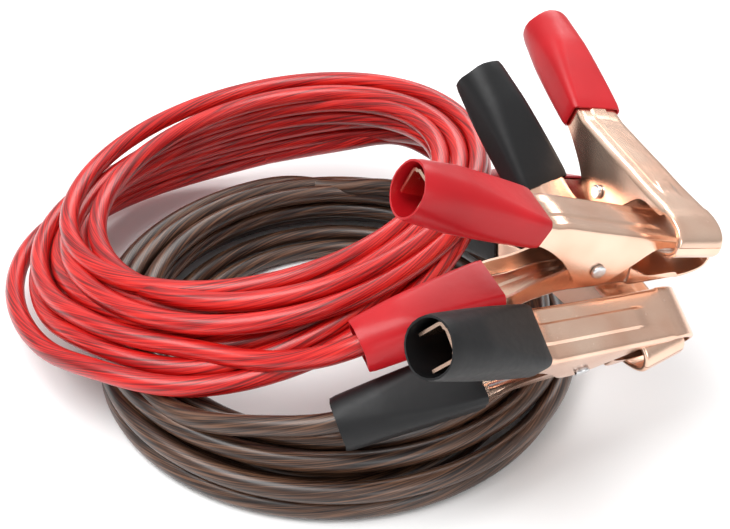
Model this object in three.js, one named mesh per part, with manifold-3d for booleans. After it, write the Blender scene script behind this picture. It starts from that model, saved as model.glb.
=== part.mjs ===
// Jumper cable set: a red and a smoky black cable, each coiled, with four copper-plated crocodile clamps.
// Units are millimetres and +Z is up. The set lies on a level floor with its clamps at the right (+X).
import * as THREE from "three";
import Module from "manifold-3d";
import { mergeVertices } from "three/addons/utils/BufferGeometryUtils.js";

const wasm = await Module();
wasm.setup();
const { Manifold, Mesh } = wasm;

// Clearance between touching faces
const GAP = 0.3;

// Cable and coils
const CABLE_D = 9;
const LEAD_SIDES = 10;
// How far the cable in a sleeve sits off the handle's centreline, towards the web
const CABLE_RAISE = -0.3;
const COIL_SIDES = 48;
const ROUND_SIDES = 24;
const WIRE_SIDES = 8;
// The cable starts inside the handle, this far along it, and runs straight there
const CABLE_START = 44;
const CABLE_STRAIGHT = 16;
const CORNER = 6;
const BLACK_COIL = { outer: 115, width: 27, height: 31 };
// The red coil lies across the black one. Its top turns lean up to the right, over the clamp handles.
const RED_TOP = { centre: [-33, 47], outer: 106, width: 27, height: 68, lean: 9 };
// Its lower turns are wider and sag at the back left. Height = middle + right cos + back sin + ends cos 2.
const RED_BOTTOM = { centre: [-45, 49], outer: 121, width: 30, middle: 31.5, right: 24.5, back: -11.5, ends: 8 };

// Stamped clamp half
const SHEET = 1.2;
const WEB_WIDTH = 22.4;
const HANDLE_END_WIDTH = 14.5;
const LIP = 0.7;
const RIB_WIDTH = 8;
const RIB_HEIGHT = 0.7;

// Rivet and spring
const RIVET_D = 4.6;
const RIVET_HEAD_D = 6.2;
const RIVET_HEAD_T = 1.5;
const SPRING_WIRE = 1.8;
const SPRING_OUTER = 10;
const SPRING_LENGTH = 12;
// Where the leg in the base half ends, as x and z from the rivet, and how far along its handle the other one ends
const BASE_LEG_END = [-33, -15.4];
const TOP_LEG_REACH = 8;

// Vinyl sleeve
const SLEEVE_LENGTH = 58;
const SLEEVE_D = 22.4;
const SLEEVE_WALL = 1.3;

// Side profile of each half, pivot at the origin, x towards the tip, z away from the other half:
// [web x, web z, flange edge x, flange edge z]
const TOP_PROFILE = [
  [55, 0.15, 53.1, 0.15],
  [54.2, 3.4, 52.4, 2.7],
  [51.4, 6.6, 50.2, 5.2],
  [47, 9, 46.4, 7.2],
  [42, 10.4, 41.7, 8.6],
  [39, 11, 38.5, 7],
  [27, 13.2, 26, 8.2],
  [18.5, 15, 16.5, 1],
  [11, 16.8, 8, -5.5],
  [4, 18.3, 3.5, -7.6],
  [-2, 19.6, -3, -7.6],
  [-8, 20.9, -9, -4.5],
  [-15, 22.5, -15, 3],
  [-20.5, 23.7, -20.5, 8.5],
];
const BASE_PROFILE = [
  [55, 0.15, 53.1, 0.15],
  [54.3, 3.2, 52.5, 2.5],
  [51.5, 5.8, 50.3, 4.4],
  [47, 7.6, 46.5, 5.8],
  [42, 8.7, 41.7, 6.9],
  [39, 9.2, 38.5, 5.2],
  [27, 10.1, 26, 5.6],
  [18.5, 10.5, 17.2, 1.6],
  [16.6, 10.6, 15.4, 0.5],
  [12, 10.7, 9, -5],
  [4, 11, 3.5, -7.6],
  [-4, 11.2, -4, -7.6],
  [-11, 11.6, -11, -2.5],
  [-16, 12.3, -15.6, 0.8],
  [-27, 15.9, -27, 5.5],
];
// The ears of the base half lie inside those of the top half over this stretch of x
const EAR_FROM = -28;
const EAR_TO = 17;

// Handle: start of its centreline, its angle off the jaw, and [distance, web above the line, flange depth]
const TOP_HANDLE = { start: [-20, 16.9], angle: 26.2, stations: [[9, 5, 10], [24, 5.4, 11], [45, 6, 11.6], [66, 6.2, 11.4]] };
const BASE_HANDLE = { start: [-20, 7.2], angle: 23.8, stations: [[17, 5, 10], [28, 5.4, 11], [47, 6, 11.6], [69, 6.2, 11.4]] };
const HANDLE_WIDTHS = [WEB_WIDTH, 19.4, 17, HANDLE_END_WIDTH];

// The four clamps as they lie: pivot, then yaw, pitch and roll in degrees, the angle of the top handle, how far
// each sleeve sits back, and the way that the cable takes from its sleeve to its coil. The top handle of
// front_red is bent down.
const CLAMPS = [
  {
    name: "front_red",
    red: true,
    at: [100.2, -55.3, 94],
    turn: [20.9, 9, 5.7],
    topAngle: 17.5,
    topSleeve: 11,
    baseSleeve: 18,
    lead: [[-14, -77, 55], [-38, -68, 48], [-60, -58, 46]],
  },
  {
    name: "front_black",
    red: false,
    at: [94.3, -79.3, 67.3],
    turn: [25.5, 4.9, 32.5],
    topAngle: TOP_HANDLE.angle,
    topSleeve: 12,
    baseSleeve: 18,
    lead: [[-20, -98, 40], [-42, -92, 34], [-64, -80, 27]],
  },
  {
    name: "back_red",
    red: true,
    at: [122.5, -11, 93.9],
    turn: [-66.3, -6.6, -14.7],
    topAngle: TOP_HANDLE.angle,
    topSleeve: 13,
    baseSleeve: 18,
    lead: [[70, 84, 42], [54, 100, 44], [34, 116, 50]],
  },
  {
    name: "back_black",
    red: false,
    at: [104.7, -28.9, 64.3],
    turn: [-55.2, 10.9, -0.9],
    topAngle: TOP_HANDLE.angle,
    topSleeve: 14,
    baseSleeve: 18,
    lead: [[34, 76, 40], [16, 88, 34], [-8, 96, 26]],
  },
];

function rad(degrees) {
  return (degrees * Math.PI) / 180;
}

function material(color, roughness, metalness) {
  return new THREE.MeshStandardMaterial({ color, roughness, metalness });
}

const COPPER = material(0xd9a082, 0.3, 1);
const STEEL = material(0xc9c9cb, 0.28, 1);
const RED_VINYL = material(0xc4141f, 0.42, 0);
const BLACK_VINYL = material(0x1e1f22, 0.45, 0);
const RED_JACKET = material(0xc9100f, 0.22, 0);
const BLACK_JACKET = material(0x3b2118, 0.22, 0);

// A closed three.js geometry as a solid, with shared corners merged and its faces pointing out
function solidOf(geometry) {
  geometry.deleteAttribute("normal");
  geometry.deleteAttribute("uv");
  const merged = mergeVertices(geometry);
  const index = merged.index.array;
  const triangles = [];
  for (let i = 0; i < index.length; i += 3) {
    const [a, b, c] = [index[i], index[i + 1], index[i + 2]];
    if (a !== b && b !== c && c !== a) triangles.push([a, b, c]);
  }
  const vertProperties = new Float32Array(merged.getAttribute("position").array);
  const solid = new Manifold(new Mesh({ numProp: 3, vertProperties, triVerts: new Uint32Array(triangles.flat()) }));
  if (solid.volume() > 0) return solid;
  const flipped = triangles.map(([a, b, c]) => [a, c, b]);
  return new Manifold(new Mesh({ numProp: 3, vertProperties, triVerts: new Uint32Array(flipped.flat()) }));
}

function geometryOf(solid) {
  const mesh = solid.getMesh();
  const geometry = new THREE.BufferGeometry();
  geometry.setAttribute("position", new THREE.BufferAttribute(new Float32Array(mesh.vertProperties), 3));
  geometry.setIndex(new THREE.BufferAttribute(new Uint32Array(mesh.triVerts), 1));
  geometry.computeVertexNormals();
  return geometry;
}

// A closed surface through rows of points. Each row is a closed loop. The ends are capped, or the rows
// themselves close into a ring.
function skin(rows, ringed) {
  const count = rows[0].length;
  const points = [];
  for (const row of rows) for (const p of row) points.push(p[0], p[1], p[2]);
  const faces = [];
  const last = ringed ? rows.length : rows.length - 1;
  for (let r = 0; r < last; r++) {
    const s = (r + 1) % rows.length;
    for (let i = 0; i < count; i++) {
      const j = (i + 1) % count;
      faces.push(r * count + i, r * count + j, s * count + j);
      faces.push(r * count + i, s * count + j, s * count + i);
    }
  }
  if (!ringed) {
    for (const [row, flip] of [[0, true], [rows.length - 1, false]]) {
      const flat = flatten(rows[row]);
      const area = THREE.ShapeUtils.area(flat);
      for (const [a, b, c] of THREE.ShapeUtils.triangulateShape(flat, [])) {
        const base = row * count;
        if ((area > 0) !== flip) faces.push(base + a, base + b, base + c);
        else faces.push(base + a, base + c, base + b);
      }
    }
  }
  const geometry = new THREE.BufferGeometry();
  geometry.setAttribute("position", new THREE.BufferAttribute(new Float32Array(points), 3));
  geometry.setIndex(faces);
  return geometry;
}

// A planar loop in its own plane, as 2-D points
function flatten(row) {
  const o = new THREE.Vector3(...row[0]);
  const normal = new THREE.Vector3();
  for (let i = 0; i < row.length; i++) {
    const a = new THREE.Vector3(...row[i]).sub(o);
    const b = new THREE.Vector3(...row[(i + 1) % row.length]).sub(o);
    normal.add(new THREE.Vector3().crossVectors(a, b));
  }
  normal.normalize();
  const u = new THREE.Vector3(...row[1]).sub(o).normalize();
  const v = new THREE.Vector3().crossVectors(normal, u);
  return row.map((p) => {
    const d = new THREE.Vector3(...p).sub(o);
    return new THREE.Vector2(d.dot(u), d.dot(v));
  });
}

// One cross-section of the folded sheet: web on top, a flange down each side
function channelRow(web, edge, halfWidth) {
  const dx = edge[0] - web[0];
  const dz = edge[1] - web[1];
  const depth = Math.hypot(dx, dz);
  const ux = dx / depth;
  const uz = dz / depth;
  const deep = Math.max(depth, SHEET + LIP);
  const foot = [web[0] + ux * deep, web[1] + uz * deep];
  const under = [web[0] + ux * SHEET, web[1] + uz * SHEET];
  const inside = halfWidth - SHEET;
  return [
    [foot[0], -halfWidth, foot[1]],
    [web[0], -halfWidth, web[1]],
    [web[0], halfWidth, web[1]],
    [foot[0], halfWidth, foot[1]],
    [foot[0], inside, foot[1]],
    [under[0], inside, under[1]],
    [under[0], -inside, under[1]],
    [foot[0], -inside, foot[1]],
  ];
}

// The point at a distance along a handle, raised off its centreline
function handlePoint(handle, distance, raise) {
  const c = Math.cos(rad(handle.angle));
  const s = Math.sin(rad(handle.angle));
  return [handle.start[0] - c * distance + s * raise, handle.start[1] + s * distance + c * raise];
}

function halfSolid(profile, handle, earInset) {
  const rows = [];
  for (const [wx, wz, ex, ez] of profile) {
    const inset = wx > EAR_FROM && wx < EAR_TO ? earInset : 0;
    rows.push(channelRow([wx, wz], [ex, ez], WEB_WIDTH / 2 - inset));
  }
  handle.stations.forEach(([distance, raise, depth], k) => {
    const web = handlePoint(handle, distance, raise);
    const edge = handlePoint(handle, distance, raise - depth);
    rows.push(channelRow(web, edge, HANDLE_WIDTHS[k] / 2));
  });
  const solid = solidOf(skin(rows, false));
  const hole = solidOf(new THREE.CylinderGeometry(RIVET_D / 2 + GAP, RIVET_D / 2 + GAP, WEB_WIDTH * 2, ROUND_SIDES));
  return solid.subtract(hole).add(ribSolid(profile));
}

// The rib pressed up along the middle of the web
function ribSolid(profile) {
  const rows = [];
  for (const [wx, wz] of profile.slice(6)) {
    const end = wx === profile[6][0] || wx === profile[profile.length - 1][0];
    const high = end ? 0.15 : RIB_HEIGHT;
    rows.push([
      [wx, -RIB_WIDTH / 2, wz - SHEET / 2],
      [wx, -RIB_WIDTH / 2 + high, wz + high],
      [wx, RIB_WIDTH / 2 - high, wz + high],
      [wx, RIB_WIDTH / 2, wz - SHEET / 2],
    ]);
  }
  return solidOf(skin(rows, false));
}

// A rounded rectangle across a handle, as points around its centreline
function sleeveRow(handle, distance, lift, halfWidth, halfHeight, round) {
  const row = [];
  const corners = [[1, 1], [-1, 1], [-1, -1], [1, -1]];
  corners.forEach(([sy, sz], quarter) => {
    for (let k = 0; k < 5; k++) {
      const a = rad(quarter * 90 + k * 22.5);
      const y = sy * (halfWidth - round) + round * Math.cos(a);
      const h = sz * (halfHeight - round) + round * Math.sin(a);
      const [x, z] = handlePoint(handle, distance, lift + h);
      row.push([x, y, z]);
    }
  });
  return row;
}

function sleeveSolid(handle, back) {
  const steps = 6;
  const first = handle.stations[0];
  const startHalf = WEB_WIDTH / 2 + GAP;
  const startHigh = first[2] / 2 + GAP;
  const bore = SLEEVE_D / 2 - SLEEVE_WALL;
  const outer = [];
  const inner = [];
  for (let k = 0; k <= steps; k++) {
    const t = k / steps;
    const distance = back + SLEEVE_LENGTH * t;
    const halfWidth = startHalf + (bore - startHalf) * t;
    const halfHeight = startHigh + (bore - startHigh) * Math.min(1, t * 1.5);
    const round = 1.2 + (Math.min(halfWidth, halfHeight) - 1.25) * t;
    const wall = SLEEVE_WALL;
    inner.push(sleeveRow(handle, distance, 0, halfWidth, halfHeight, round));
    outer.push(sleeveRow(handle, distance, 0, halfWidth + wall, halfHeight + wall, round + wall));
  }
  return solidOf(skin([...outer, ...inner.reverse()], true));
}

// A profile of [radius, height] turned about Y
function latheSolid(profile, sides) {
  return solidOf(new THREE.LatheGeometry(profile.map(([x, y]) => new THREE.Vector2(x, y)), sides));
}

function rivetSolid() {
  const reach = WEB_WIDTH / 2 + GAP;
  const profile = [
    [0, -reach - RIVET_HEAD_T],
    [RIVET_HEAD_D / 2 - 0.5, -reach - RIVET_HEAD_T],
    [RIVET_HEAD_D / 2, -reach - RIVET_HEAD_T + 0.6],
    [RIVET_HEAD_D / 2, -reach],
    [RIVET_D / 2, -reach],
    [RIVET_D / 2, reach],
    [RIVET_HEAD_D / 2, reach],
    [RIVET_HEAD_D / 2, reach + RIVET_HEAD_T - 0.6],
    [RIVET_HEAD_D / 2 - 0.5, reach + RIVET_HEAD_T],
    [0, reach + RIVET_HEAD_T],
  ];
  return latheSolid(profile, ROUND_SIDES);
}

function bar(from, to, diameter) {
  const a = new THREE.Vector3(...from);
  const b = new THREE.Vector3(...to);
  const geometry = new THREE.CylinderGeometry(diameter / 2, diameter / 2, a.distanceTo(b), WIRE_SIDES);
  const turn = new THREE.Quaternion().setFromUnitVectors(new THREE.Vector3(0, 1, 0), b.clone().sub(a).normalize());
  geometry.applyQuaternion(turn);
  geometry.translate(...a.add(b).multiplyScalar(0.5).toArray());
  return solidOf(geometry);
}

// The coil of the spring on the rivet, with the leg that lies in the base half
function springSolid() {
  const outer = SPRING_OUTER / 2;
  const inner = RIVET_D / 2 + GAP;
  const half = SPRING_LENGTH / 2;
  const coil = latheSolid([[outer, -half], [outer, half], [inner, half], [inner, -half], [outer, -half]], ROUND_SIDES);
  const y = -half + SPRING_WIRE / 2;
  const leg = bar([0, y, -outer + SPRING_WIRE / 2], [BASE_LEG_END[0], y, BASE_LEG_END[1]], SPRING_WIRE);
  return coil.add(leg);
}

// The leg that swings with the top half
function springLegSolid(handle) {
  const y = SPRING_LENGTH / 2 + GAP + SPRING_WIRE / 2;
  const raise = handle.stations[0][1] - SHEET - GAP - SPRING_WIRE / 2;
  const [x, z] = handlePoint(handle, TOP_LEG_REACH, raise);
  return bar([1, y, SPRING_OUTER / 2 - SPRING_WIRE / 2], [x, y, z], SPRING_WIRE);
}

// A closed rectangle with rounded corners, as [radius, height]
function roundedProfile(inner, outer, low, high, round) {
  const corners = [[outer - round, low + round, -90], [outer - round, high - round, 0]];
  corners.push([inner + round, high - round, 90], [inner + round, low + round, 180]);
  const profile = [];
  for (const [x, z, start] of corners) {
    for (const step of [0, 45, 90]) {
      profile.push([x + round * Math.cos(rad(start + step)), z + round * Math.sin(rad(start + step))]);
    }
  }
  return [...profile, profile[0]];
}

// The black coil: a flat ring on the floor. A grown ring, larger all round, cuts clearance for what lies on it.
function blackCoilSolid(grow) {
  const { outer, width, height } = BLACK_COIL;
  const ring = roundedProfile(outer - width - grow, outer + grow, -grow, height + grow, CORNER);
  return latheSolid(ring, COIL_SIDES).rotate([90, 0, 0]);
}

// The red coil: a ring whose width, centre and height run from those of the lower turns to those of the top ones
function redCoilSolid(grow) {
  const round = 0.2;
  const profile = roundedProfile(1, 2, 0, 1, round).map(([x, y]) => new THREE.Vector2(x, y));
  const geometry = new THREE.LatheGeometry(profile, COIL_SIDES);
  const position = geometry.getAttribute("position");
  const { lerp } = THREE.MathUtils;
  for (let i = 0; i < position.count; i++) {
    const x = position.getX(i);
    const y = position.getZ(i);
    const v = position.getY(i);
    const u = Math.hypot(x, y) - 1;
    const angle = Math.atan2(y, x);
    const outer = lerp(RED_BOTTOM.outer, RED_TOP.outer, v) + grow;
    const inner = outer - lerp(RED_BOTTOM.width, RED_TOP.width, v) - 2 * grow;
    const radius = lerp(inner, outer, u);
    const side = radius * Math.cos(angle);
    const top = RED_TOP.height + side * Math.tan(rad(RED_TOP.lean)) + grow;
    const swell = RED_BOTTOM.right * Math.cos(angle) + RED_BOTTOM.back * Math.sin(angle);
    const low = RED_BOTTOM.middle + swell + RED_BOTTOM.ends * Math.cos(2 * angle) - grow;
    const cx = lerp(RED_BOTTOM.centre[0], RED_TOP.centre[0], v);
    const cy = lerp(RED_BOTTOM.centre[1], RED_TOP.centre[1], v);
    position.setXYZ(i, cx + side, cy + radius * Math.sin(angle), lerp(low, top, v));
  }
  return solidOf(geometry);
}

// A round cable through chosen points
function leadSolid(points) {
  const curve = new THREE.CatmullRomCurve3(points.map((p) => new THREE.Vector3(...p)));
  const steps = Math.ceil(curve.getLength() / (CABLE_D * 2));
  const section = new THREE.Shape();
  for (let k = 0; k < LEAD_SIDES; k++) {
    const a = (2 * Math.PI * k) / LEAD_SIDES;
    section[k ? "lineTo" : "moveTo"]((CABLE_D / 2) * Math.cos(a), (CABLE_D / 2) * Math.sin(a));
  }
  section.closePath();
  return solidOf(new THREE.ExtrudeGeometry(section, { steps, extrudePath: curve, bevelEnabled: false }));
}

// The points of the cable inside a clamp's base sleeve, in the frame of the whole set
function cableInSleeve(group, distances) {
  group.updateMatrix();
  return distances.map((distance) => {
    const [x, z] = handlePoint(BASE_HANDLE, distance, CABLE_RAISE);
    return new THREE.Vector3(x, 0, -z).applyMatrix4(group.matrix).toArray();
  });
}

function addMesh(parent, name, solid, look) {
  const mesh = new THREE.Mesh(geometryOf(solid), look);
  mesh.name = name;
  parent.add(mesh);
}

// One clamp in its own group: the base half and its sleeve are turned over, below the jaw line
function addClamp(set, clamp) {
  const group = new THREE.Group();
  const [yaw, pitch, roll] = clamp.turn;
  group.position.set(...clamp.at);
  group.rotation.set(rad(roll), rad(pitch), rad(yaw), "ZYX");
  set.add(group);
  const under = new THREE.Group();
  under.rotation.x = Math.PI;
  group.add(under);
  const vinyl = clamp.red ? RED_VINYL : BLACK_VINYL;
  const topHandle = { ...TOP_HANDLE, angle: clamp.topAngle };
  addMesh(under, clamp.name + "_base_half", halfSolid(BASE_PROFILE, BASE_HANDLE, SHEET + GAP), COPPER);
  addMesh(under, clamp.name + "_base_sleeve", sleeveSolid(BASE_HANDLE, clamp.baseSleeve), vinyl);
  addMesh(group, clamp.name + "_top_half", halfSolid(TOP_PROFILE, topHandle, 0), COPPER);
  addMesh(group, clamp.name + "_top_sleeve", sleeveSolid(topHandle, clamp.topSleeve), vinyl);
  addMesh(group, clamp.name + "_rivet", rivetSolid(), STEEL);
  addMesh(group, clamp.name + "_spring", springSolid(), STEEL);
  addMesh(group, clamp.name + "_spring_leg", springLegSolid(topHandle), STEEL);
  return group;
}

// A cable from the throat of a clamp's base sleeve to its coil, cut off just short of the coil's face
function addLead(set, clamp, group) {
  const inside = cableInSleeve(group, [CABLE_START, CABLE_START + CABLE_STRAIGHT, clamp.baseSleeve + SLEEVE_LENGTH + 4]);
  const coil = clamp.red ? redCoilSolid(GAP) : blackCoilSolid(GAP);
  const pieces = leadSolid([...inside, ...clamp.lead]).subtract(coil).decompose();
  pieces.sort((a, b) => b.volume() - a.volume());
  addMesh(set, clamp.name + "_lead", pieces[0], clamp.red ? RED_JACKET : BLACK_JACKET);
}

const set = new THREE.Group();
addMesh(set, "black_coil", blackCoilSolid(0), BLACK_JACKET);
addMesh(set, "red_coil", redCoilSolid(0).subtract(blackCoilSolid(GAP)), RED_JACKET);
for (const clamp of CLAMPS) addLead(set, clamp, addClamp(set, clamp));

// The frame's origin is under the middle of the whole set, on the floor
const part = new THREE.Group();
part.add(set);
const box = new THREE.Box3().setFromObject(part, true);
set.position.set(-(box.min.x + box.max.x) / 2, -(box.min.y + box.max.y) / 2, -box.min.z);

export default part;
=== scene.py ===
import math

import bmesh
import bpy
import numpy as np
from mathutils import Euler, Matrix, Vector, noise


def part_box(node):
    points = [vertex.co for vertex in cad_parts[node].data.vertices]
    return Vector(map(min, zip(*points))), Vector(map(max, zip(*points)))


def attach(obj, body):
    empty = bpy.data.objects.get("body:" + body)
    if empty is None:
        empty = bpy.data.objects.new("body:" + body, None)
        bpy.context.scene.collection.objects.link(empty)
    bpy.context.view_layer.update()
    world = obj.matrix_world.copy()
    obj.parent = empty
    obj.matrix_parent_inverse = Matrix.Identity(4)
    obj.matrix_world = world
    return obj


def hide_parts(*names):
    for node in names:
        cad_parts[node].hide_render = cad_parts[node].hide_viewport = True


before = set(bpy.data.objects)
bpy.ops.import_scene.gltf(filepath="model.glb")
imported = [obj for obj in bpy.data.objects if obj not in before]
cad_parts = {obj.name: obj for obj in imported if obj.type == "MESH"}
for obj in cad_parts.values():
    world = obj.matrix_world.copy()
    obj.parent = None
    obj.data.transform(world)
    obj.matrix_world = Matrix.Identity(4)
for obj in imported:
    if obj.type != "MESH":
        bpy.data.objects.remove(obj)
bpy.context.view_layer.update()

# Sizes in millimetres, as on the solids, with the folds and the rib rounder than there
CABLE_D = 9
SHEET = 1.2
FOLD_RADIUS = 2.2
WEB_WIDTH = 22.4
HANDLE_END_WIDTH = 14.5
LIP = 0.7
RIB_WIDTH = 8
RIB_HEIGHT = 0.8
GAP = 0.3
RIVET_D = 4.6
RIVET_HEAD_D = 6.2
RIVET_HEAD_T = 1.5
RIVET_ROUND = 0.7
SPRING_WIRE = 1.8
SPRING_OUTER = 10
SPRING_LENGTH = 12
SLEEVE_LENGTH = 58
SLEEVE_D = 22.4
SLEEVE_WALL = 1.3
CABLE_RAISE = -0.3
CABLE_START = 44
CABLE_STRAIGHT = 16
BASE_LEG_END = [-33, -15.4]
BASE_LEG_BEND = [-18, -10.4]
TOP_LEG_REACH = 8

# Side profile of each half: [web x, web z, flange edge x, flange edge z]
TOP_PROFILE = [
    [55, 0.15, 53.1, 0.15],
    [54.2, 3.4, 52.4, 2.7],
    [51.4, 6.6, 50.2, 5.2],
    [47, 9, 46.4, 7.2],
    [42, 10.4, 41.7, 8.6],
    [39, 11, 38.5, 7],
    [27, 13.2, 26, 8.2],
    [18.5, 15, 16.5, 1],
    [11, 16.8, 8, -5.5],
    [4, 18.3, 3.5, -7.6],
    [-2, 19.6, -3, -7.6],
    [-8, 20.9, -9, -4.5],
    [-15, 22.5, -15, 3],
    [-20.5, 23.7, -20.5, 8.5],
]
BASE_PROFILE = [
    [55, 0.15, 53.1, 0.15],
    [54.3, 3.2, 52.5, 2.5],
    [51.5, 5.8, 50.3, 4.4],
    [47, 7.6, 46.5, 5.8],
    [42, 8.7, 41.7, 6.9],
    [39, 9.2, 38.5, 5.2],
    [27, 10.1, 26, 5.6],
    [18.5, 10.5, 17.2, 1.6],
    [16.6, 10.6, 15.4, 0.5],
    [12, 10.7, 9, -5],
    [4, 11, 3.5, -7.6],
    [-4, 11.2, -4, -7.6],
    [-11, 11.6, -11, -2.5],
    [-16, 12.3, -15.6, 0.8],
    [-27, 15.9, -27, 5.5],
]
EAR_FROM = -28
EAR_TO = 17
RIB_FROM = 28

TOP_HANDLE = {
    "start": [-20, 16.9],
    "angle": 26.2,
    "stations": [[9, 5, 10], [24, 5.4, 11], [45, 6, 11.6], [66, 6.2, 11.4]],
}
BASE_HANDLE = {
    "start": [-20, 7.2],
    "angle": 23.8,
    "stations": [[17, 5, 10], [28, 5.4, 11], [47, 6, 11.6], [69, 6.2, 11.4]],
}
HANDLE_WIDTHS = [WEB_WIDTH, 19.4, 17, HANDLE_END_WIDTH]

# The clamps as they lie: pivot, then yaw, pitch and roll, the top handle's angle, and how far the top and the
# base sleeve sit back. The top handle of front_red is bent down.
CLAMPS = {
    "front_red": {
        "at": [100.2, -55.3, 94],
        "turn": [20.9, 9, 5.7],
        "angle": 17.5,
        "sleeves": [11, 18],
    },
    "front_black": {
        "at": [94.3, -79.3, 67.3],
        "turn": [25.5, 4.9, 32.5],
        "angle": 26.2,
        "sleeves": [12, 18],
    },
    "back_red": {
        "at": [122.5, -11, 93.9],
        "turn": [-66.3, -6.6, -14.7],
        "angle": 26.2,
        "sleeves": [13, 18],
    },
    "back_black": {
        "at": [104.7, -28.9, 64.3],
        "turn": [-55.2, 10.9, -0.9],
        "angle": 26.2,
        "sleeves": [14, 18],
    },
}
# The way of each cable from its sleeve to its coil
LEADS = {
    "front_red": [[-14, -77, 55], [-38, -68, 48], [-60, -58, 46]],
    "front_black": [[-20, -98, 40], [-42, -92, 34], [-64, -80, 27]],
    "back_red": [[70, 84, 42], [54, 100, 44], [34, 116, 50]],
    "back_black": [[34, 76, 40], [16, 88, 34], [-8, 96, 26]],
}

# The coils' sizes, as on the solids
BLACK_COIL = {"outer": 115, "width": 27, "height": 31}
RED_TOP = {"centre": [-33, 47], "outer": 106, "width": 27, "height": 68, "lean": 9}
RED_BOTTOM = {
    "centre": [-45, 49],
    "outer": 121,
    "width": 30,
    "middle": 31.5,
    "right": 24.5,
    "back": -11.5,
    "ends": 8,
}

# The turns in the order in which the cable runs, each at its front, left, back and right. A place in the
# coil's section is [u, v]: u from 0 inside to 1 outside, v from 0 at the bottom to 1 at the top. A turn that
# lies out of the section is past these.
RED_TURNS = [
    [[1.0, 0.47], [1.0, 0.45], [0.55, 0.45], [1.0, 0.5]],
    [[1.0, 0.78], [0.55, 0.75], [0.1, 0.8], [0.0, 1.0]],
    [[0.05, 0.98], [1.0, 1.0], [1.0, 1.0], [1.0, 1.0]],
    [[0.56, 0.94], [0.05, 0.95], [0.1, 1.0], [0.5, 0.95]],
    [[0.12, 0.6], [0.1, 0.55], [0.1, 0.6], [0.0, 0.5]],
    [[0.5, 0.5], [0.45, 0.4], [0.1, 0.4], [0.5, 0.5]],
    [[0.98, 0.12], [0.6, 0.12], [0.1, 0.2], [0.5, 0.0]],
    [[0.5, 0.2], [0.25, 0.0], [0.1, 0.0], [0.8, 0.1]],
    [[1.36, 0.03], [1.0, 0.0], [0.1, 0.0], [0.1, 0.0]],
]
BLACK_TURNS = [
    [[0.5, 1.0], [0.6, 1.0], [0.5, 1.0], [0.25, 1.0]],
    [[0.0, 0.95], [0.0, 1.0], [0.0, 1.0], [0.0, 0.8]],
    [[0.0, 0.5], [0.05, 0.55], [0.0, 0.55], [0.0, 0.35]],
    # The next two black turns run in past u = 0 at the left, back and right, filling the coil's hole with
    # dark cable.
    [[0.0, 0.0], [-0.3, 0.1], [-0.5, 0.1], [-0.3, 0.0]],
    [[0.25, 0.1], [-0.7, 0.0], [-1.1, 0.0], [-0.5, 0.0]],
    [[0.5, 0.1], [0.5, 0.15], [0.5, 0.15], [0.75, 0.0]],
    [[1.0, 0.0], [1.0, 0.0], [1.0, 0.0], [1.0, 0.25]],
    [[1.0, 0.42], [1.0, 0.45], [1.0, 0.45], [0.75, 0.6]],
    [[0.45, 0.76], [1.0, 0.9], [0.95, 0.95], [0.9, 1.0]],
]

# Where the cables join and leave their coils, in degrees run from the front, and their real lengths in metres
RED_RUN = [24, 360 * 8 + 215]
BLACK_RUN = [46, 360 * 8 + 168]

# Steps of the path in a quarter turn, and how far the red turns take to sink beside the black coil
QUARTER_STEPS = 22
EASE = 14

# A route is laid out in long steps, settled, and then skinned with rings in short steps
ROUTE_STEP = 6
SETTLE_ROUNDS = 10
RING_STEP = 2.5
RING_SIDES = 20
SPRING_TURNS = 5.5
SPRING_STEPS = 18
# How far along the cable a strand takes to wind round it once, in metres
STRAND_LAY = 0.2

# The camera, fitted to the photograph, in the layout of the clamps above
CAMERA_TARGET = [13, 35.9, 20]
CAMERA_DISTANCE = 556.5
CAMERA_ELEVATION = 36.74
CAMERA_LENS = 54.31
SENSOR = 36
# Half the floor's side, in metres
FLOOR = 6

BLACK_LOW, BLACK_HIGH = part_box("black_coil")
ORIGIN = Vector(((BLACK_LOW[0] + BLACK_HIGH[0]) / 2, (BLACK_LOW[1] + BLACK_HIGH[1]) / 2, 0))


def metres(point):
    return Vector(point) * 0.001 + ORIGIN


def lerp(a, b, t):
    return a + (b - a) * t


def smooth(t):
    t = min(1.0, max(0.0, t))
    return t * t * (3 - 2 * t)


def catmull(rows, steps):
    """Rows of numbers, with smooth rows put in between."""
    rows = np.array(rows, float)
    out = []
    for i in range(len(rows) - 1):
        before = rows[max(0, i - 1)]
        a, b = rows[i], rows[i + 1]
        after = rows[min(len(rows) - 1, i + 2)]
        for k in range(steps):
            t = k / steps
            out.append(
                0.5 * (2 * a + (b - before) * t + (2 * before - 5 * a + 4 * b - after) * t * t
                       + (3 * a - before - 3 * b + after) * t ** 3)
            )
    out.append(rows[-1])
    return np.array(out)


# Node materials


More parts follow.
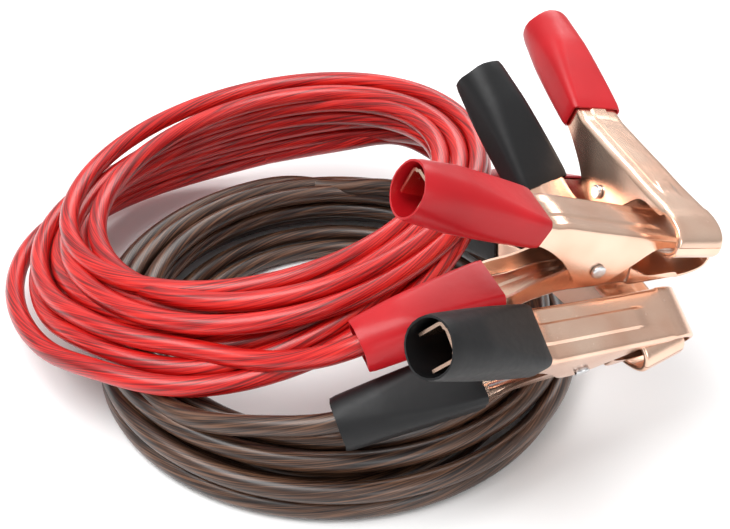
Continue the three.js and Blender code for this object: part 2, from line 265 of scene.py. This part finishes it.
class Nodes:
    """A small helper round a material's node tree."""

    def __init__(self, name):
        self.material = bpy.data.materials.new(name)
        self.material.use_nodes = True
        self.tree = self.material.node_tree
        self.shader = self.tree.nodes["Principled BSDF"]

    def add(self, kind, **values):
        node = self.tree.nodes.new(kind)
        for key, value in values.items():
            if hasattr(node, key):
                setattr(node, key, value)
            else:
                node.inputs[key.replace("_", " ")].default_value = value
        return node

    def link(self, source, target):
        self.tree.links.new(source, target)

    def math(self, operation, a, b=None):
        node = self.add("ShaderNodeMath", operation=operation)
        for slot, value in enumerate((a, b)):
            if value is None:
                continue
            if isinstance(value, (int, float)):
                node.inputs[slot].default_value = value
            else:
                self.link(value, node.inputs[slot])
        return node.outputs[0]

    def ramp(self, factor, stops):
        node = self.add("ShaderNodeValToRGB")
        elements = node.color_ramp.elements
        while len(elements) < len(stops):
            elements.new(0.5)
        for element, (place, colour) in zip(elements, stops):
            element.position = place
            element.color = (*colour, 1)
        self.link(factor, node.inputs[0])
        return node.outputs[0]

    def noise(self, vector, scale, detail=3.0):
        node = self.add("ShaderNodeTexNoise", Scale=scale, Detail=detail)
        self.link(vector, node.inputs["Vector"])
        return node.outputs["Fac"]

    def bump(self, height, distance, strength=1.0):
        node = self.add("ShaderNodeBump", Distance=distance, Strength=strength)
        self.link(height, node.inputs["Height"])
        self.link(node.outputs[0], self.shader.inputs["Normal"])

    def set(self, **values):
        for key, value in values.items():
            self.shader.inputs[key.replace("_", " ")].default_value = value


def copper_material():
    n = Nodes("copper_plate")
    place = n.add("ShaderNodeTexCoord").outputs["Object"]
    broad = n.noise(place, 45, 2)
    n.link(
        n.ramp(broad, [(0.3, (0.84, 0.52, 0.38)), (0.7, (0.95, 0.68, 0.53))]),
        n.shader.inputs["Base Color"],
    )
    fine = n.noise(place, 900, 4)
    n.link(n.math("ADD", n.math("MULTIPLY", fine, 0.1), 0.2), n.shader.inputs["Roughness"])
    n.bump(n.noise(place, 160, 3), 0.00012, 0.35)
    n.set(Metallic=1.0)
    return n.material


def steel_material():
    n = Nodes("bright_steel")
    place = n.add("ShaderNodeTexCoord").outputs["Object"]
    fine = n.noise(place, 700, 3)
    n.link(
        n.ramp(fine, [(0.3, (0.62, 0.63, 0.65)), (0.7, (0.8, 0.8, 0.81))]),
        n.shader.inputs["Base Color"],
    )
    n.set(Metallic=1.0, Roughness=0.22)
    n.bump(fine, 0.0001, 0.2)
    return n.material


def vinyl_material(name, dark, light, roughness):
    n = Nodes(name)
    place = n.add("ShaderNodeTexCoord").outputs["Object"]
    broad = n.noise(place, 30, 2)
    scuff = n.noise(place, 420, 5)
    n.link(n.ramp(broad, [(0.3, dark), (0.7, light)]), n.shader.inputs["Base Color"])
    grain = n.math("ADD", n.math("MULTIPLY", scuff, 0.16), roughness - 0.08)
    n.link(grain, n.shader.inputs["Roughness"])
    n.bump(n.noise(place, 240, 4), 0.0002, 0.35)
    n.set(Specular_IOR_Level=0.38)
    return n.material


def jacket_material(name, painted_gap_shade, strand, painted_sheen, lay):
    """A clear jacket over twisted strands: long uneven streaks that wind round the cable, under a gloss. The
    streaks' darkest colour is painted shade between the strands, their brightest painted sheen on the
    strands.
    """
    n = Nodes(name)
    split = n.add("ShaderNodeSeparateXYZ")
    n.link(n.add("ShaderNodeUVMap", uv_map="cable").outputs[0], split.inputs[0])
    around, along = split.outputs[0], split.outputs[1]
    twist = n.math("MULTIPLY", n.math("ADD", around, n.math("MULTIPLY", along, 1 / lay)), 2 * math.pi)
    wound = n.add("ShaderNodeCombineXYZ")
    n.link(n.math("COSINE", twist), wound.inputs[0])
    n.link(n.math("SINE", twist), wound.inputs[1])
    n.link(n.math("MULTIPLY", along, 5), wound.inputs[2])
    fine = n.noise(wound.outputs[0], 7, 3)
    broad = n.noise(wound.outputs[0], 2.2, 2)
    mixed = n.math("ADD", n.math("MULTIPLY", fine, 0.65), n.math("MULTIPLY", broad, 0.35))
    # First stop: painted shade in the gaps between strands. Last stop: painted sheen on the strand crowns.
    n.link(n.ramp(mixed, [(0.4, painted_gap_shade), (0.5, strand), (0.6, painted_sheen)]), n.shader.inputs["Base Color"])
    n.bump(fine, 0.0002, 0.12)
    n.set(Roughness=0.42, Specular_IOR_Level=0.35, Coat_Weight=0.6, Coat_Roughness=0.26, Coat_IOR=1.45)
    return n.material


# Meshes


def piece(name, vertices, faces, body, material, sharp=35):
    """A mesh piece of millimetre points in the layout, which rides on a body."""
    mesh = bpy.data.meshes.new(name)
    mesh.from_pydata([metres(v) for v in vertices], [], faces)
    mesh.validate()
    work = bmesh.new()
    work.from_mesh(mesh)
    bmesh.ops.recalc_face_normals(work, faces=work.faces)
    work.to_mesh(mesh)
    work.free()
    mesh.shade_smooth()
    mesh.set_sharp_from_angle(angle=math.radians(sharp))
    mesh.materials.append(material)
    thing = bpy.data.objects.new(name, mesh)
    bpy.context.scene.collection.objects.link(thing)
    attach(thing, body)
    return thing


def skin(rows, ringed):
    """Points and faces through rows of closed loops, capped at the ends or closed into a ring."""
    count = len(rows[0])
    points = [p for row in rows for p in row]
    faces = []
    last = len(rows) if ringed else len(rows) - 1
    for r in range(last):
        s = (r + 1) % len(rows)
        for i in range(count):
            j = (i + 1) % count
            faces.append((r * count + i, r * count + j, s * count + j, s * count + i))
    if not ringed:
        faces.append(tuple(range(count)))
        faces.append(tuple(range(len(points) - count, len(points))))
    return points, faces


def handle_point(handle, distance, lift):
    angle = math.radians(handle["angle"])
    c, s = math.cos(angle), math.sin(angle)
    x, z = handle["start"]
    return [x - c * distance + s * lift, z + s * distance + c * lift]


def clamp_matrix(name):
    clamp = CLAMPS[name]
    yaw, pitch, roll = (math.radians(a) for a in clamp["turn"])
    return Matrix.Translation(clamp["at"]) @ Euler((roll, pitch, yaw), "XYZ").to_matrix().to_4x4()


UNDER = Matrix.Rotation(math.pi, 4, "X")


def channel_row(web, edge, half_width, rib):
    """One cross-section of the folded sheet: up one flange, over the web, down the other, and back inside."""
    across = Vector((edge[0] - web[0], 0, edge[1] - web[1]))
    depth = across.length
    down = across / depth
    depth = max(depth, SHEET + LIP)
    origin = Vector((web[0], 0, web[1]))

    def at(y, s):
        return origin + down * s + Vector((0, y, 0))

    def line(inset):
        half = half_width - inset
        radius = min(FOLD_RADIUS, depth * 0.6) - inset
        radius = max(radius, 0.3)
        found = [at(-half, depth)]
        for k in range(5):
            a = math.radians(90 * k / 4)
            found.append(at(-half + radius * (1 - math.cos(a)), inset + radius * (1 - math.sin(a))))
        reach = half - radius
        edge = RIB_WIDTH / 2
        levels = [reach * 0.85, edge + 1.2, edge + 0.5, edge, edge - 0.5, edge - 1.2, edge * 0.4]
        for y in [-y for y in levels] + [0] + levels[::-1]:
            y = max(-reach, min(reach, y))
            high = rib * smooth((edge + 0.5 - abs(y)) / 1)
            found.append(at(y, inset - high))
        for k in range(5):
            a = math.radians(90 * (4 - k) / 4)
            found.append(at(half - radius * (1 - math.cos(a)), inset + radius * (1 - math.sin(a))))
        found.append(at(half, depth))
        return found

    return line(0) + line(SHEET)[::-1]


def half_rows(profile, handle, ear_inset):
    rows = []
    for wx, wz, ex, ez in profile:
        inset = ear_inset if EAR_FROM < wx < EAR_TO else 0
        rows.append([wx, wz, ex, ez, WEB_WIDTH / 2 - inset])
    for (distance, lift, depth), width in zip(handle["stations"], HANDLE_WIDTHS):
        web = handle_point(handle, distance, lift)
        edge = handle_point(handle, distance, lift - depth)
        rows.append([*web, *edge, width / 2])
    fine = catmull(rows, 4)
    return [
        channel_row(r[0:2], r[2:4], r[4], RIB_HEIGHT * smooth((RIB_FROM - r[0]) / 3))
        for r in fine
    ]


def clamp_half(name, part, matrix, body, profile, handle, ear_inset, material):
    points, faces = skin(half_rows(profile, handle, ear_inset), False)
    thing = piece(f"{name}_{part}_look", [matrix @ p for p in points], faces, body, material)
    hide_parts(f"{name}_{part}")
    return thing


def sleeve_row(handle, distance, lift, half_width, half_height, radius, wobble):
    row = []
    corners = [(1, 1), (-1, 1), (-1, -1), (1, -1)]
    for quarter, (sy, sz) in enumerate(corners):
        for k in range(7):
            a = math.radians(quarter * 90 + k * 15)
            y = sy * (half_width - radius) + radius * math.cos(a)
            h = sz * (half_height - radius) + radius * math.sin(a)
            shift = wobble * noise.noise(Vector((y * 0.12, h * 0.12, handle["angle"])))
            x, z = handle_point(handle, distance + shift, lift + h)
            row.append(Vector((x, y, z)))
    return row


def sleeve(name, part, matrix, body, handle, back, material):
    """The vinyl sleeve: square on the sheet at the jaw end, round and slack at its open end."""
    steps = 22
    first = handle["stations"][0]
    start_half = WEB_WIDTH / 2 + GAP
    start_high = first[2] / 2 + GAP
    bore = SLEEVE_D / 2 - SLEEVE_WALL
    outer, inner = [], []
    for k in range(steps + 1):
        t = k / steps
        half = lerp(start_half, bore, t)
        high = lerp(start_high, bore, min(1, t * 1.5))
        radius = 1.6 + (min(half, high) - 1.65) * t
        wobble = 2.2 * (1 - smooth(t * 3)) + 0.8 * smooth((t - 0.8) * 5)
        rim = 0.35 * (smooth((0.04 - t) * 25) + smooth((t - 0.96) * 25))
        distance = back + SLEEVE_LENGTH * t
        wall = SLEEVE_WALL - rim
        inner.append(sleeve_row(handle, distance, 0, half + rim * 0.3, high + rim * 0.3, radius, wobble))
        outer.append(sleeve_row(handle, distance, 0, half + wall, high + wall, radius + wall, wobble))
    points, faces = skin(outer + inner[::-1], True)
    thing = piece(f"{name}_{part}_look", [matrix @ p for p in points], faces, body, material, 50)
    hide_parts(f"{name}_{part}")
    return thing


def revolve(profile, sides):
    """Rows round the Y axis from [radius, height] pairs that start and end on the axis."""
    rows = []
    for radius, height in profile:
        row = []
        for k in range(sides):
            a = 2 * math.pi * k / sides
            row.append(Vector((radius * math.cos(a), height, radius * math.sin(a))))
        rows.append(row)
    return rows


def rivet(name, matrix, body, material):
    reach = WEB_WIDTH / 2 + GAP
    head = []
    for k in range(6):
        a = math.radians(90 * k / 5)
        radius = RIVET_HEAD_D / 2 - RIVET_ROUND * (1 - math.sin(a))
        head.append([radius, reach + RIVET_HEAD_T - RIVET_ROUND * (1 - math.cos(a))])
    top = [[0.05, reach + RIVET_HEAD_T + 0.02], [1.2, reach + RIVET_HEAD_T]] + head
    top += [[RIVET_HEAD_D / 2, reach], [RIVET_D / 2, reach]]
    profile = top + [[r, -y] for r, y in reversed(top)]
    points, faces = skin(revolve(profile, 28), False)
    thing = piece(f"{name}_rivet_look", [matrix @ p for p in points], faces, body, material)
    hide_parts(f"{name}_rivet")
    return thing


def tube_rows(path, radius, sides):
    """Rings round a path, turned as little as they can be from one to the next."""
    path = [Vector(p) for p in path]
    rows = []
    tangent = (path[1] - path[0]).normalized()
    side = tangent.orthogonal().normalized()
    for i, p in enumerate(path):
        ahead = path[min(i + 1, len(path) - 1)] - path[max(i - 1, 0)]
        ahead.normalize()
        side = (side - ahead * side.dot(ahead)).normalized()
        up = ahead.cross(side)
        rows.append([
            p + (side * math.cos(2 * math.pi * k / sides) + up * math.sin(2 * math.pi * k / sides)) * radius
            for k in range(sides)
        ])
    return rows


def spring(name, matrix, body, jaw, handle, material):
    """Turns of wire round the rivet with a straight leg to each handle."""
    radius = SPRING_OUTER / 2 - SPRING_WIRE / 2
    half = SPRING_LENGTH / 2 - SPRING_WIRE / 2
    path = [(BASE_LEG_END[0], -half, BASE_LEG_END[1]), (BASE_LEG_BEND[0], -half, BASE_LEG_BEND[1])]
    steps = int(SPRING_TURNS * SPRING_STEPS)
    for k in range(steps + 1):
        a = 2 * math.pi * k / SPRING_STEPS
        y = lerp(-half, half, k / steps)
        path.append((-radius * math.sin(a), y, -radius * math.cos(a)))
    points, faces = skin(tube_rows(path, SPRING_WIRE / 2, 10), False)
    coil = piece(f"{name}_spring_look", [matrix @ p for p in points], faces, body, material)
    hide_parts(f"{name}_spring")
    y = SPRING_LENGTH / 2 + GAP + SPRING_WIRE / 2
    x, z = handle_point(handle, TOP_LEG_REACH, handle["stations"][0][1] - SHEET - GAP - SPRING_WIRE / 2)
    line = [(1, y, radius), ((1 + x) / 2, y, (radius + z) / 2), (x, y, z)]
    points, faces = skin(tube_rows(catmull(line, 5), SPRING_WIRE / 2, 10), False)
    leg = piece(f"{name}_spring_leg_look", [matrix @ p for p in points], faces, jaw, material)
    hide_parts(f"{name}_spring_leg")


def red_section(angle, u, v):
    """A point in the red coil: the ring of the solid, drawn in by the cable's own radius."""
    margin = CABLE_D / 2
    c, s = math.cos(angle), math.sin(angle)
    outer = lerp(RED_BOTTOM["outer"], RED_TOP["outer"], v)
    inner = outer - lerp(RED_BOTTOM["width"], RED_TOP["width"], v)
    radius = lerp(inner + margin, outer - margin, u)
    x = lerp(RED_BOTTOM["centre"][0], RED_TOP["centre"][0], v) + radius * c
    y = lerp(RED_BOTTOM["centre"][1], RED_TOP["centre"][1], v) + radius * s
    top = RED_TOP["height"] + radius * c * math.tan(math.radians(RED_TOP["lean"])) - margin
    low = RED_BOTTOM["middle"] + RED_BOTTOM["right"] * c + RED_BOTTOM["back"] * s
    low += RED_BOTTOM["ends"] * math.cos(2 * angle) + margin
    rest = max(low, BLACK_COIL["height"] + margin + GAP)
    past = math.hypot(x, y) - BLACK_COIL["outer"]
    short = BLACK_COIL["outer"] - BLACK_COIL["width"] - math.hypot(x, y)
    over = 1 - smooth((max(past, short) - margin) / EASE)
    return Vector((x, y, lerp(lerp(low, rest, over), top, v)))


def black_section(angle, u, v):
    margin = CABLE_D / 2
    inner = BLACK_COIL["outer"] - BLACK_COIL["width"]
    radius = lerp(inner + margin, BLACK_COIL["outer"] - margin, u)
    z = lerp(margin, BLACK_COIL["height"] - margin, v)
    return Vector((radius * math.cos(angle), radius * math.sin(angle), z))


def coil_path(turns, section, start, end):
    """The cable's way round its coil, clockwise seen from above. Angles are counted on from the front."""
    places = catmull([place for turn in turns for place in turn], QUARTER_STEPS)
    points = []
    for k, (u, v) in enumerate(places):
        angle = 90 * k / QUARTER_STEPS
        if start <= angle <= end:
            points.append(section(math.radians(-90 - angle), u, v))
    return points


def cable_in_sleeve(name, distances):
    matrix = clamp_matrix(name) @ UNDER
    found = []
    for distance in distances:
        x, z = handle_point(BASE_HANDLE, distance, CABLE_RAISE)
        found.append(matrix @ Vector((x, 0, z)))
    return found


def even(points, spacing):
    """The same smooth line, with its points an even distance apart."""
    line = catmull(points, 8)
    steps = np.linalg.norm(np.diff(line, axis=0), axis=1)
    run = np.concatenate([[0], np.cumsum(steps)])
    count = int(run[-1] / spacing)
    wanted = np.linspace(0, run[-1], count + 1)
    return np.stack([np.interp(wanted, run, line[:, i]) for i in range(3)], axis=1)


def settle(line, rounds):
    """Evens out the small kinks of a line, with its ends kept."""
    line = line.copy()
    for _ in range(rounds):
        line[1:-1] = 0.25 * line[:-2] + 0.5 * line[1:-1] + 0.25 * line[2:]
    return line


def cable(name, first, last, turns, section, run, nodes, material):
    """One whole cable: out of a clamp, round its coil and into the other clamp."""
    mouth = CLAMPS[first]["sleeves"][1] + SLEEVE_LENGTH
    out = cable_in_sleeve(first, [CABLE_START, CABLE_START + CABLE_STRAIGHT, mouth + 4])
    back = cable_in_sleeve(last, [CABLE_START, CABLE_START + CABLE_STRAIGHT, mouth + 4])
    points = out + [Vector(p) for p in LEADS[first]]
    points += coil_path(turns, section, *run)
    points += [Vector(p) for p in reversed(LEADS[last])] + back[::-1]
    line = settle(even([tuple(p) for p in points], ROUTE_STEP), SETTLE_ROUNDS)
    line = even(line, RING_STEP)
    vertices, faces = skin(tube_rows(line, CABLE_D / 2, RING_SIDES), False)
    thing = piece(name, vertices, faces, "cables", material, 60)
    layer = thing.data.uv_layers.new(name="cable")
    for polygon in thing.data.polygons:
        corners = [thing.data.loops[i].vertex_index for i in polygon.loop_indices]
        columns = [c % RING_SIDES for c in corners]
        wraps = 0 in columns and RING_SIDES - 1 in columns
        for i, c, column in zip(polygon.loop_indices, corners, columns):
            u = (column + (RING_SIDES if wraps and column == 0 else 0)) / RING_SIDES
            layer.data[i].uv = (u, (c // RING_SIDES) * RING_STEP * 0.001)
    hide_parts(*nodes)
    return thing


def camera():
    lens = bpy.data.cameras.new("camera")
    lens.sensor_width = SENSOR
    lens.lens = CAMERA_LENS
    thing = bpy.data.objects.new("camera", lens)
    bpy.context.scene.collection.objects.link(thing)
    rise = math.radians(CAMERA_ELEVATION)
    away = Vector((0, -math.cos(rise), math.sin(rise))) * CAMERA_DISTANCE
    thing.location = metres(Vector(CAMERA_TARGET) + away)
    thing.rotation_euler = (math.pi / 2 - rise, 0, 0)
    lens.clip_start = 0.01
    bpy.context.scene.camera = thing


def area_light(name, place, aim, size, power):
    data = bpy.data.lights.new(name, "AREA")
    data.shape = "RECTANGLE"
    data.size, data.size_y = size
    data.energy = power
    thing = bpy.data.objects.new(name, data)
    thing.location = place
    thing.rotation_euler = (Vector(aim) - Vector(place)).to_track_quat("-Z", "Y").to_euler()
    bpy.context.scene.collection.objects.link(thing)


def studio():
    world = bpy.data.worlds.new("studio")
    bpy.context.scene.world = world
    world.use_nodes = True
    ground = world.node_tree.nodes["Background"]
    sky = world.node_tree.nodes.new("ShaderNodeTexCoord")
    split = world.node_tree.nodes.new("ShaderNodeSeparateXYZ")
    shade = world.node_tree.nodes.new("ShaderNodeValToRGB")
    shade.color_ramp.elements[0].position = 0.05
    shade.color_ramp.elements[0].color = (0.5, 0.5, 0.5, 1)
    shade.color_ramp.elements[1].position = 0.75
    shade.color_ramp.elements[1].color = (0.95, 0.95, 0.95, 1)
    world.node_tree.links.new(sky.outputs["Generated"], split.inputs[0])
    world.node_tree.links.new(split.outputs[2], shade.inputs[0])
    world.node_tree.links.new(shade.outputs[0], ground.inputs["Color"])
    ground.inputs["Strength"].default_value = 0.82
    area_light("key", (-0.5, -0.25, 1.3), (0, 0, 0), (0.9, 0.9), 16)
    area_light("back", (0.3, 1.1, 1.0), (0, 0, 0.05), (1.2, 0.6), 10)
    area_light("front", (0.6, -1.2, 0.5), (0.05, 0, 0.05), (0.8, 0.5), 4)
    mesh = bpy.data.meshes.new("floor")
    corners = [(-FLOOR, -FLOOR, 0), (FLOOR, -FLOOR, 0), (FLOOR, FLOOR, 0), (-FLOOR, FLOOR, 0)]
    mesh.from_pydata(corners, [], [(0, 1, 2, 3)])
    floor = bpy.data.objects.new("floor", mesh)
    bpy.context.scene.collection.objects.link(floor)
    look = Nodes("floor")
    place = look.add("ShaderNodeTexCoord").outputs["Object"]
    look.link(
        look.ramp(look.noise(place, 3, 2), [(0.3, (0.90, 0.90, 0.90)), (0.7, (0.92, 0.92, 0.92))]),
        look.shader.inputs["Base Color"],
    )
    look.set(Roughness=0.9)
    mesh.materials.append(look.material)


bpy.context.scene.view_settings.view_transform = "Standard"
camera()

# In each jacket the first colour is painted shade between the strands and the last is painted sheen on them.
RED_JACKET = jacket_material(
    "red_jacket", (0.16, 0.0, 0.0), (0.48, 0.002, 0.003), (0.7, 0.02, 0.012), STRAND_LAY
)
BLACK_JACKET = jacket_material(
    "black_jacket", (0.008, 0.003, 0.002), (0.05, 0.022, 0.012), (0.15, 0.07, 0.038), STRAND_LAY
)
cable(
    "red_cable", "front_red", "back_red", RED_TURNS, red_section, RED_RUN,
    ["red_coil", "front_red_lead", "back_red_lead"], RED_JACKET,
)
cable(
    "black_cable", "front_black", "back_black", BLACK_TURNS, black_section, BLACK_RUN,
    ["black_coil", "front_black_lead", "back_black_lead"], BLACK_JACKET,
)

COPPER = copper_material()
STEEL = steel_material()
RED_VINYL = vinyl_material("red_vinyl", (0.42, 0.004, 0.009), (0.54, 0.008, 0.014), 0.36)
BLACK_VINYL = vinyl_material("black_vinyl", (0.003, 0.003, 0.0035), (0.006, 0.006, 0.007), 0.5)

for clamp, facts in CLAMPS.items():
    upright = clamp_matrix(clamp)
    turned = upright @ UNDER
    jaw = clamp + "_jaw"
    colour = "red" if clamp.endswith("red") else "black"
    vinyl = RED_VINYL if colour == "red" else BLACK_VINYL
    clamp_half(clamp, "base_half", turned, "cables", BASE_PROFILE, BASE_HANDLE, SHEET + GAP, COPPER)
    top_handle = {**TOP_HANDLE, "angle": facts["angle"]}
    clamp_half(clamp, "top_half", upright, jaw, TOP_PROFILE, top_handle, 0, COPPER)
    sleeve(clamp, "base_sleeve", turned, "cables", BASE_HANDLE, facts["sleeves"][1], vinyl)
    sleeve(clamp, "top_sleeve", upright, jaw, top_handle, facts["sleeves"][0], vinyl)
    rivet(clamp, upright, "cables", STEEL)
    spring(clamp, upright, "cables", jaw, top_handle, STEEL)

studio()
